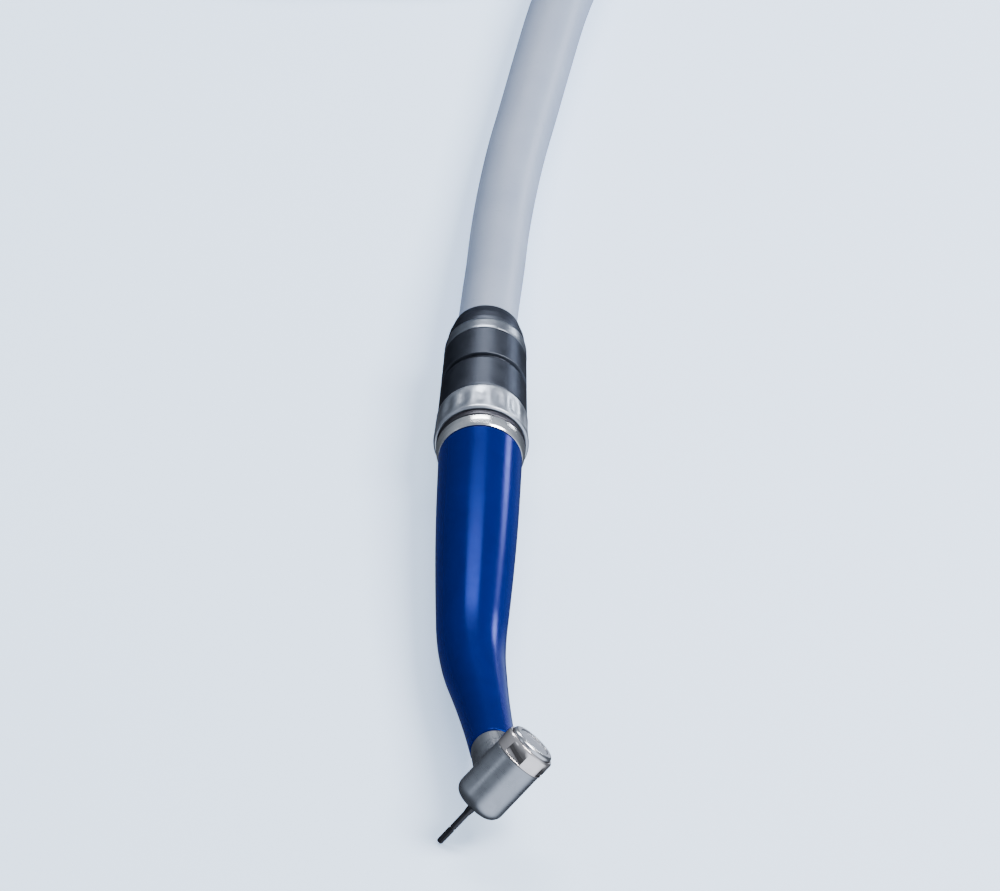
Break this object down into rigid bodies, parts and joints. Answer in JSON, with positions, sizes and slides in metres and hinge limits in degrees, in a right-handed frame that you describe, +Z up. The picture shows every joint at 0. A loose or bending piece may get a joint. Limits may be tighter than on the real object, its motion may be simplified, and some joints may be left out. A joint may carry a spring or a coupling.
{
  "type": "high speed dental handpiece",
  "caption": "Slim air turbine handpiece with a bent blue body, push-button chuck head, bur and four-hole coupling, on its pale hose folded into a tied hank.",
  "frame": {"origin": "on the table under the middle of the handpiece's box, without the hose", "axes": "+Y along the body from the head towards the hose, +Z up from the table the handpiece lies on"},
  "size_m": [0.1012, 0.4398, 0.0242],
  "materials": {
    "blue_shell": "glossy anodised blue",
    "polished_metal": "mirror polished",
    "satin_steel": "satin stainless steel",
    "bearing_steel": "ground steel",
    "spring_steel": "bright spring steel",
    "dark_metal": "satin dark grey anodised",
    "tungsten_carbide": "dark ground carbide",
    "brass_tube": "drawn tube",
    "impeller_black": "black moulded",
    "bearing_cage": "phenolic",
    "seal_rubber": "matt black",
    "silicone_hose": "smooth pale grey silicone",
    "hook_and_loop": "woven strap",
    "nylon_grey": "moulded nylon"
  },
  "bodies": {
    "handpiece": {"body_shell": "blue_shell", "trim_ring": "polished_metal", "tube_base": "satin_steel", "drive_air_tube": "satin_steel", "water_tube": "brass_tube", "chip_air_tube": "brass_tube", "head_housing": "satin_steel", "back_cap": "polished_metal", "button_spring": "spring_steel", "spray_ring": "satin_steel", "front_outer_race": "bearing_steel", "rear_outer_race": "bearing_steel", "front_o_ring": "seal_rubber", "rear_o_ring": "seal_rubber", "wave_washer": "spring_steel", "coupling_gasket": "seal_rubber", "hose_connector": "satin_steel", "hose_run": "silicone_hose", "hose_hank": "silicone_hose", "hose_tail": "silicone_hose", "hank_tie_left": "hook_and_loop", "hank_tie_right": "hook_and_loop", "unit_strain_relief": "seal_rubber", "unit_lock_nut": "nylon_grey", "unit_fitting": "satin_steel"},
    "rotor": {"spindle": "bearing_steel", "impeller": "impeller_black", "collet": "bearing_steel", "front_inner_race": "bearing_steel", "rear_inner_race": "bearing_steel"},
    "front_cage": {"front_ball_cage": "bearing_cage"},
    "rear_cage": {"rear_ball_cage": "bearing_cage"},
    "chuck_pin": {"chuck_pin": "bearing_steel"},
    "push_button": {"push_button": "satin_steel"},
    "bur": {"bur_shank": "satin_steel", "bur_head": "tungsten_carbide"},
    "coupling_nut": {"nut_sleeve": "dark_metal", "knurled_ring": "polished_metal", "accent_ring": "polished_metal"}
  },
  "joints": [
    {"name": "rotor_spin", "type": "hinge", "parent": "handpiece", "child": "rotor", "pos_m": [0.00326, -0.07009, 0.012], "axis": [0.6677, 0.2495, 0.7013], "continuous": true},
    {"name": "front_cage_spin", "type": "hinge", "parent": "handpiece", "child": "front_cage", "pos_m": [0.00326, -0.07009, 0.012], "axis": [0.6677, 0.2495, 0.7013], "continuous": true},
    {"name": "rear_cage_spin", "type": "hinge", "parent": "handpiece", "child": "rear_cage", "pos_m": [0.00326, -0.07009, 0.012], "axis": [0.6677, 0.2495, 0.7013], "continuous": true},
    {"name": "button_press", "type": "slide", "parent": "handpiece", "child": "push_button", "axis": [-0.6677, -0.2495, -0.7013], "range_m": [0, 0.0007], "stiffness_N_per_m": 2000, "springref_m": -0.002, "deforming": ["button_spring"]},
    {"name": "chuck_pin_slide", "type": "slide", "parent": "rotor", "child": "chuck_pin", "axis": [-0.6677, -0.2495, -0.7013], "range_m": [0, 0.0007]},
    {"name": "bur_slide", "type": "slide", "parent": "rotor", "child": "bur", "axis": [-0.6677, -0.2495, -0.7013], "range_m": [0, 0.012]},
    {"name": "nut_turn", "type": "hinge", "parent": "handpiece", "child": "coupling_nut", "pos_m": [-0.00363, 0.03662, 0.00886], "axis": [0, 0.9993, 0.0375], "continuous": true}
  ],
  "couplings": [
    {"joint": "front_cage_spin", "follows": "rotor_spin", "ratio": 0.395},
    {"joint": "rear_cage_spin", "follows": "rotor_spin", "ratio": 0.395},
    {"joint": "chuck_pin_slide", "follows": "button_press", "ratio": 1}
  ]
}
